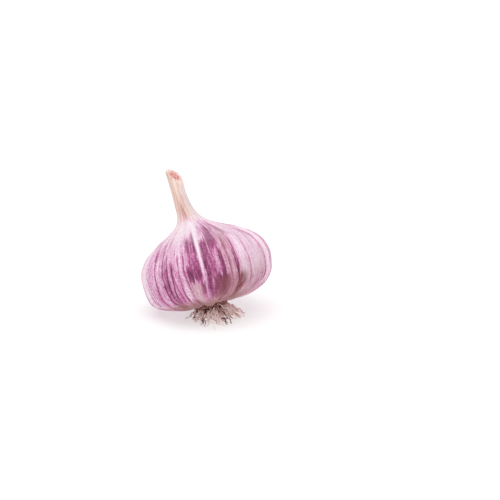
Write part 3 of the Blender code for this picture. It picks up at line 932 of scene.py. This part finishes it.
def make_head():
    """The head's skin from the dimple to the cut, and the cut's rings, as one mesh."""
    angles = column_angles()
    places = np.linspace(HEAD_BOTTOM_STATION, TOP_STATION, HEAD_ROWS)
    place, angle = np.meshgrid(places, angles, indexing="ij")
    upright = head_surface(angle, place, 0, 1)
    points = tipped(np.concatenate((upright, cut_rings(upright[-1], angles))))
    rows, columns = points.shape[:2]
    faces = grid_faces(rows, columns)
    wrapper = wrapper_material("inner_wrapper_satin", INNER_ROUGHNESS, INNER_FIBRE_BUMP)
    cut = cut_material("cut_leaf_bases_matt", CUT_LIGHT, CUT_DARK, CUT_ROUGHNESS)
    head = add_piece("wrapped_cloves_and_neck", points, faces, (wrapper, cut), ("head",))
    # All rings past the rim are cut, and so is the last face, but not the one that closes the dimple.
    is_cut = np.zeros(len(faces), int)
    is_cut[(HEAD_ROWS - 1) * columns:] = 1
    is_cut[-2] = 0
    head.data.polygons.foreach_set("material_index", is_cut)
    cut_place = np.full((len(CUT_LAYERS), columns), float(TOP_STATION))
    cut_angle = np.repeat(angles[None], len(CUT_LAYERS), 0)
    paint_skin(head, np.concatenate((angle, cut_angle)), np.concatenate((place, cut_place)))


make_head()


# Outermost skin: one cured leaf over the front and left of the head, up the neck to the cut. It has torn
# along its right edge and its foot, where it lifts a little off the head and shows its thickness.

SKIN_THICKNESS = 0.18 * MM
SKIN_LIFT = 0.42 * MM
SKIN_LEFT_DEG = -101
SKIN_RIGHT_DEG = 31
SKIN_LOW_STATION = 4.6
SKIN_LOW_RISE = 1.0
SKIN_BRIDGING = 0.8
SKIN_COLUMNS = 340
SKIN_ROWS = 146
SKIN_CLING = 0.20 * MM
CURL_HEIGHT = 0.25 * MM
CURL_WIDTH_DEG = 1.6
CURL_WIDTH_STATIONS = 0.2
LOOSE_SPOTS = (1, 60, 1.2, 64)
LOOSE_BELOW = (11, 12.5)
OUTER_ROUGHNESS, OUTER_FIBRE_BUMP = 0.40, 0.6

# Each torn edge: where its waves start, the seed of its fraying, and how deep it is torn and frayed, in
# stations at the foot and in degrees at the sides.
FOOT_EDGE = (0.3, 61, 0.25, 0.05)
LEFT_EDGE = (0.1, 62, 2.2, 0.3)
RIGHT_EDGE = (0.6, 63, 2.2, 0.3)
TEAR_WAVES = 1.3
TEAR_NICKS = 7
WAVE_SHARE = 0.5
NICK_SHARE = 0.6
FRAY_CELLS, FINE_FRAY_CELLS = 90, 230
FINE_FRAY_SHARE = 0.5


def torn_edge(share, start, seed, torn, fray):
    """How far an edge of the skin is torn in and out along its length, in waves, nicks and fine threads."""
    wave = np.sin(2 * np.pi * (TEAR_WAVES * share + start))
    nick = np.abs((TEAR_NICKS * share + start) % 1 - 0.5) * 4 - 1
    rows = (1, FRAY_CELLS, 1, seed), (FINE_FRAY_SHARE, FINE_FRAY_CELLS, 1, seed)
    threads = noise(share * 360, np.zeros_like(share), *rows)
    return torn * (WAVE_SHARE * wave + NICK_SHARE * nick) + fray * threads


def make_outer_skin():
    rows, columns = np.linspace(0, 1, SKIN_ROWS), np.linspace(0, 1, SKIN_COLUMNS)
    up, across = np.meshgrid(rows, columns, indexing="ij")
    low = SKIN_LOW_STATION + SKIN_LOW_RISE * (1 - across) ** 2 + torn_edge(across, *FOOT_EDGE)
    left = SKIN_LEFT_DEG + torn_edge(up, *LEFT_EDGE)
    right = SKIN_RIGHT_DEG + torn_edge(up, *RIGHT_EDGE)
    angle = left + (right - left) * across
    place = low + (TOP_STATION - low) * up
    to_side = np.minimum(angle - left, right - angle) / CURL_WIDTH_DEG
    to_foot = (place - low) / CURL_WIDTH_STATIONS
    edge = np.minimum(np.exp(-to_side) + np.exp(-to_foot), 1)
    loose = smooth(0, 1, noise(angle, place, LOOSE_SPOTS)) * (1 - smooth(*LOOSE_BELOW, place))
    lift = SKIN_LIFT - SKIN_CLING * edge * (1 - loose) + CURL_HEIGHT * edge * loose
    points = tipped(head_surface(angle, place, lift, SKIN_BRIDGING + (1 - SKIN_BRIDGING) * edge))
    faces = grid_faces(SKIN_ROWS, SKIN_COLUMNS, closed=False)
    outer = wrapper_material("outermost_skin_satin", OUTER_ROUGHNESS, OUTER_FIBRE_BUMP)
    skin = add_piece("outermost_skin", points, faces, (outer,), ("outer_skin",))
    paint_skin(skin, angle, place)
    shell = skin.modifiers.new("leaf_thickness", "SOLIDIFY")
    shell.thickness = SKIN_THICKNESS
    shell.offset = -1


make_outer_skin()


# Flower stalk: the hard woody stem that this kind of garlic sends up through the neck, cut off flush.
# It is fibrous and redder than the leaf round it, with a paler pith.

STALK_RADIUS = 1.75 * MM
STALK_SIDES = 40
STALK_LIGHT, STALK_DARK = "#E8B4AC", "#BA6A63"
STALK_ROUGHNESS = 0.8
# Ridges round the stem: height as a share of the radius, count, and start.
STALK_RIDGES = ((0.03, 9, 0), (0.02, 17, 1))
# Share of the radius, and height above the cut in millimetres.
STALK_RINGS = (
    (1.0, -1.5), (1.0, 0.05), (0.93, 0.18), (0.8, 0.12), (0.68, 0.2), (0.5, 0.1), (0.3, 0.02), (0.1, -0.05),
)


def ridged(turns, ridges):
    """The radius all round, as a share, with a few ridges in it."""
    return 1 + sum(height * np.sin(turns * count + start) for height, count, start in ridges)


def make_stalk():
    turns = np.arange(STALK_SIDES) * 2 * np.pi / STALK_SIDES
    radii = STALK_RADIUS * ridged(turns, STALK_RIDGES)
    rings = []
    for share, proud in STALK_RINGS:
        x, y = radii * share * np.sin(turns), -radii * share * np.cos(turns)
        z = CUT_HEIGHT + CUT_SLOPE[0] * x + CUT_SLOPE[1] * y + proud * MM
        rings.append(np.stack((x + CUT_DRIFT, y, z), -1))
    faces = grid_faces(len(rings), STALK_SIDES)
    wood = cut_material("cut_stalk_woody", STALK_LIGHT, STALK_DARK, STALK_ROUGHNESS)
    add_piece("flower_stalk_end", tipped(np.array(rings)), faces, (wood,), ("flower_stalk",))


make_stalk()


# Roots: the corky plate under the head, with a tuft of dried roots grown out of it. They are brittle and
# crinkled, darkened with painted shade where they start under the head and pale at the tips, and lie along
# the table where they meet it.

# Radius and height of the plate.
PLATE_PROFILE_MM = ((1.0, 1.1), (6.0, 1.1), (7.2, 0.4), (7.6, -0.4), (6.6, -1.4), (3.5, -2.0), (0.4, -2.1))
PLATE_SIDES = 72
# The plate's dark tone is partly painted shade under the head.
PLATE_TONE_AND_SHADE = 0.20
# Knobs round the plate: height as a share of the radius, count, and how they turn with its height.
PLATE_KNOBS = ((0.05, 11, 3), (0.04, 23, -5))
ROOT_COUNT, FINE_ROOT_COUNT = 84, 56
ROOT_SEED, FINE_ROOT_SEED = 100, 400
ROOT_LOT_SEED = 9
FINE_ROOTS_FROM = 0.7
FINE_ROOT_SIZE = 0.6
FINE_ROOT_REACHES = (0.5, 1.2)
ROOT_RING = 6.3 * MM
ROOT_START_DEPTH = 0.5 * MM
ROOT_LENGTH = 11.5 * MM
SHORTEST_SHARE = 0.72
INNER_LENGTH_SHARE = 0.65
ROOT_ROOM_DOWNHILL = 0.4
ROOT_SPLAY = math.radians(62)
ROOT_SPLAY_SPREAD = math.radians(12)
ROOT_DROOP = 0.25
ROOT_CURL = 2.2 * MM
ROOT_CRINKLE = 0.35 * MM
ROOT_WAVE = 0.55 * MM
ROOT_WAVES = (1.4, 3.2)
BOB_TO_SWAY = 1.3
ROOT_FORWARD = np.array((-0.55, -0.83, 0))
ROOT_FORWARD_REACH = 0.45
ROOT_RADIUS = 0.5 * MM
ROOT_TIP_SHARE = 0.5
ROOT_STOUTNESS = (0.75, 1.15)
KNOT_HEIGHT = 0.12
KNOTS_ALONG = (14, 26)
ROOT_SIDES = 6
ROOT_POINTS = 22
# Each root follows the route of its solid, which has this many points, with finer waves along it.
CAD_ROOT_POINTS = 6
GOLDEN_ANGLE = math.pi * (3 - math.sqrt(5))


def root_route(index, count, seed, reach, inner):
    """Points of one root from the plate to its tip, in the world, and how far along it each lies."""
    rng = random.Random(seed + index)
    share = math.sqrt(inner ** 2 + (1 - inner ** 2) * (index + 0.5) / count)
    turn = index * GOLDEN_ANGLE
    outward = np.array((math.sin(turn), -math.cos(turn), 0))
    aside = np.array((math.cos(turn), math.sin(turn), 0))
    up = np.array(UP)
    uphill = (TIP @ Vector(outward)).z / math.sin(HEAD_AXIS.angle(UP))
    room = ROOT_ROOM_DOWNHILL + (1 - ROOT_ROOM_DOWNHILL) * (0.5 + 0.5 * uphill)
    length = ROOT_LENGTH * room * rng.uniform(SHORTEST_SHARE, 1) * reach
    length *= INNER_LENGTH_SHARE + (1 - INNER_LENGTH_SHARE) * share
    length *= 1 + ROOT_FORWARD_REACH * max(outward @ ROOT_FORWARD, 0)
    splay = ROOT_SPLAY * share + rng.uniform(-1, 1) * ROOT_SPLAY_SPREAD
    heading = outward * math.sin(splay) - up * math.cos(splay)
    start = outward * ROOT_RING * share - up * ROOT_START_DEPTH
    curl = rng.uniform(-1, 1) * ROOT_CURL
    t = np.linspace(0, 1, CAD_ROOT_POINTS)[:, None]
    crinkle = np.array([[rng.uniform(-1, 1), rng.uniform(-1, 1)] for _ in t]) * ROOT_CRINKLE
    crinkle[0] = 0
    route = start + heading * length * t + aside * curl * t ** 2 - up * ROOT_DROOP * length * t ** 2
    route += outward * crinkle[:, :1] + aside * crinkle[:, 1:]
    fine = np.linspace(0, 1, ROOT_POINTS)
    route = np.stack([np.interp(fine, t[:, 0], route[:, k]) for k in range(3)], -1)
    waves = rng.uniform(*ROOT_WAVES)
    sway = np.sin(2 * math.pi * waves * fine + rng.uniform(*WAVE_STARTS)) * fine ** 0.5
    bob = np.sin(2 * math.pi * waves * BOB_TO_SWAY * fine + rng.uniform(*WAVE_STARTS)) * fine ** 0.5
    route += ROOT_WAVE * (aside * sway[:, None] + up * bob[:, None])
    return tipped(route), fine


def tube(route, radii):
    """Rings of vertices round a route, flattened where they would reach below the table."""
    along = np.gradient(route, axis=0)
    along /= np.linalg.norm(along, axis=1, keepdims=True)
    first = np.cross(along, (0.3, 0.5, 0.8))
    first /= np.linalg.norm(first, axis=1, keepdims=True)
    second = np.cross(along, first)
    turns = np.arange(ROOT_SIDES) * 2 * np.pi / ROOT_SIDES
    ring = first[:, None] * np.cos(turns)[:, None] + second[:, None] * np.sin(turns)[:, None]
    rings = route[:, None] + ring * radii[:, None, None]
    rings[..., 2] = np.maximum(rings[..., 2], 0)
    return rings


# Dried root: a brittle, wrinkled brown skin over a pale fibrous core. The tips have been rubbed pale, the
# bases are darkened with painted shade under the head, and no two roots are the same tone, so the tuft
# looks tangled and deep.

# The wrinkles are about 0.2 mm apart in life, and are drawn at 0.45 mm so that they show.
BARK_WRINKLE_MM = 0.45
BARK_WRINKLE_HEIGHT = 0.12 * MM
BARK_BUMP = 0.7
BARK_SHARE = 0.26
BARK_ROUGHNESS = 0.8
ROOT_TONES = (
    (0.0, "#2C1415"),
    (0.22, "#9C625F"),
    (0.42, "#ECBEB8"),
    (0.7, "#FBE2DD"),
    (1.0, "#FEF2EF"),
)
# A root is dark with painted shade where it leaves the plate, and turns to its own pale tone along it, with
# darker rings.
BASE_SHADE_TONE = 0.02
PALE_TONES = (0.25, 0.6, 0.85, 0.95, 1.0)
PALE_ALONG = (0.06, 0.38)
RING_TONE, RINGS_ALONG = 0.16, 15


def root_material():
    material, shader = new_material("dried_root_fibrous")
    tone = add_node(material, "ShaderNodeAttribute", attribute_name="root_tone")
    parts = add_node(material, "ShaderNodeSeparateXYZ", links={"Vector": tone.outputs["Vector"]})
    spot = add_node(material, "ShaderNodeTexCoord")
    bark = add_node(
        material, "ShaderNodeTexNoise", {"Scale": 1 / (BARK_WRINKLE_MM * MM), "Detail": 3},
        {"Vector": spot.outputs["Object"]},
    )
    blotch = add_node(
        material, "ShaderNodeMapRange",
        {"From Min": NOISE_LOW, "From Max": NOISE_HIGH, "To Min": -BARK_SHARE, "To Max": BARK_SHARE},
        {"Value": bark.outputs["Fac"]},
    )
    whole = add_node(
        material, "ShaderNodeMath", links={0: parts.outputs["X"], 1: blotch.outputs["Result"]},
        operation="ADD", use_clamp=True,
    )
    colour = add_node(
        material, "ShaderNodeValToRGB", links={"Fac": whole.outputs["Value"]}, stops=ROOT_TONES,
    )
    bump = add_node(
        material, "ShaderNodeBump", {"Strength": BARK_BUMP, "Distance": BARK_WRINKLE_HEIGHT},
        {"Height": bark.outputs["Fac"]},
    )
    wire(material, colour.outputs["Color"], shader, "Base Color")
    wire(material, bump.outputs["Normal"], shader, "Normal")
    shader.inputs["Roughness"].default_value = BARK_ROUGHNESS
    return material


def make_roots(dried):
    rng = random.Random(ROOT_LOT_SEED)
    points, faces, tones = [], [], []
    lots = [(i, ROOT_COUNT, ROOT_SEED, 1.0, 0, 1.0) for i in range(ROOT_COUNT)]
    for i in range(FINE_ROOT_COUNT):
        reach = rng.uniform(*FINE_ROOT_REACHES)
        lots.append((i, FINE_ROOT_COUNT, FINE_ROOT_SEED, reach, FINE_ROOTS_FROM, FINE_ROOT_SIZE))
    root_faces = grid_faces(ROOT_POINTS, ROOT_SIDES)
    for index, count, seed, reach, inner, size in lots:
        route, share = root_route(index, count, seed, reach, inner)
        stout = size * rng.uniform(*ROOT_STOUTNESS)
        knots = 1 + KNOT_HEIGHT * np.sin(share * rng.uniform(*KNOTS_ALONG) + rng.uniform(*WAVE_STARTS))
        radii = ROOT_RADIUS * stout * (1 - (1 - ROOT_TIP_SHARE) * share) * knots
        first = len(points) * ROOT_SIDES
        faces += [[first + corner for corner in face] for face in root_faces]
        points.extend(tube(route, radii))
        tone = BASE_SHADE_TONE + rng.choice(PALE_TONES) * smooth(*PALE_ALONG, share)
        tone += RING_TONE * np.sin(share * RINGS_ALONG + rng.uniform(*WAVE_STARTS))
        tones.extend(np.repeat(tone[:, None], ROOT_SIDES, 1))
    tuft = add_piece("dried_roots", np.array(points), faces, (dried,), ("roots",))
    keep_on_mesh(tuft, "root_tone", np.repeat(np.array(tones)[..., None], 3, -1))


def make_root_plate(dried):
    turns = np.arange(PLATE_SIDES) * 2 * np.pi / PLATE_SIDES
    rings = []
    for radius, height in PLATE_PROFILE_MM[::-1]:
        radii = radius * ridged(turns, [(knob, count, turn * height) for knob, count, turn in PLATE_KNOBS])
        ring = (radii * np.sin(turns), -radii * np.cos(turns), np.full(PLATE_SIDES, height))
        rings.append(np.stack(ring, -1) * MM)
    faces = grid_faces(len(rings), PLATE_SIDES)
    plate = add_piece("root_plate", tipped(np.array(rings)), faces, (dried,))
    keep_on_mesh(plate, "root_tone", np.full((len(rings), PLATE_SIDES, 3), PLATE_TONE_AND_SHADE))


dried_root = root_material()
make_roots(dried_root)
make_root_plate(dried_root)


# Studio: a white sweep under and behind the garlic, a white surround, and a broad soft light from above and
# a little in front, so that no side of the garlic falls into shade.

WHITE = (1, 1, 1, 1)
SWEEP_SIZE = 8
SURROUND_STRENGTH = 0.775
SUN_STRENGTH = 1.3
SUN_SOFTNESS = math.radians(60)
SUN_FROM = Vector((-0.08, -0.30, 1.0))
# White paper: uncoated and matt, so it shows no gloss. A little glow keeps it white away from the garlic.
PAPER_WHITE = "#BDBDBD"
PAPER_GLOW = 0.50
PAPER_ROUGHNESS = 0.9

sun_lamp = bpy.data.lights.new("soft_key", "SUN")
sun_lamp.energy = SUN_STRENGTH
sun_lamp.angle = SUN_SOFTNESS
sun = bpy.data.objects.new("soft_key", sun_lamp)
sun.rotation_euler = (-SUN_FROM).to_track_quat("-Z", "Y").to_euler()
bpy.context.scene.collection.objects.link(sun)

world = bpy.data.worlds.new("white_surround")
world.use_nodes = True
world.node_tree.nodes["Background"].inputs["Color"].default_value = WHITE
world.node_tree.nodes["Background"].inputs["Strength"].default_value = SURROUND_STRENGTH
bpy.context.scene.world = world
bpy.context.scene.view_settings.view_transform = "Standard"

sweep_shape = bmesh.new()
bmesh.ops.create_grid(sweep_shape, x_segments=1, y_segments=1, size=SWEEP_SIZE / 2)
sweep_mesh = bpy.data.meshes.new("white_sweep")
sweep_shape.to_mesh(sweep_mesh)
sweep_shape.free()
sweep = bpy.data.objects.new("white_sweep", sweep_mesh)
bpy.context.scene.collection.objects.link(sweep)
paper, paper_shader = new_material("white_paper_matt")
paper_shader.inputs["Base Color"].default_value = linear(PAPER_WHITE)
paper_shader.inputs["Emission Color"].default_value = WHITE
paper_shader.inputs["Emission Strength"].default_value = PAPER_GLOW
paper_shader.inputs["Roughness"].default_value = PAPER_ROUGHNESS
sweep_mesh.materials.append(paper)
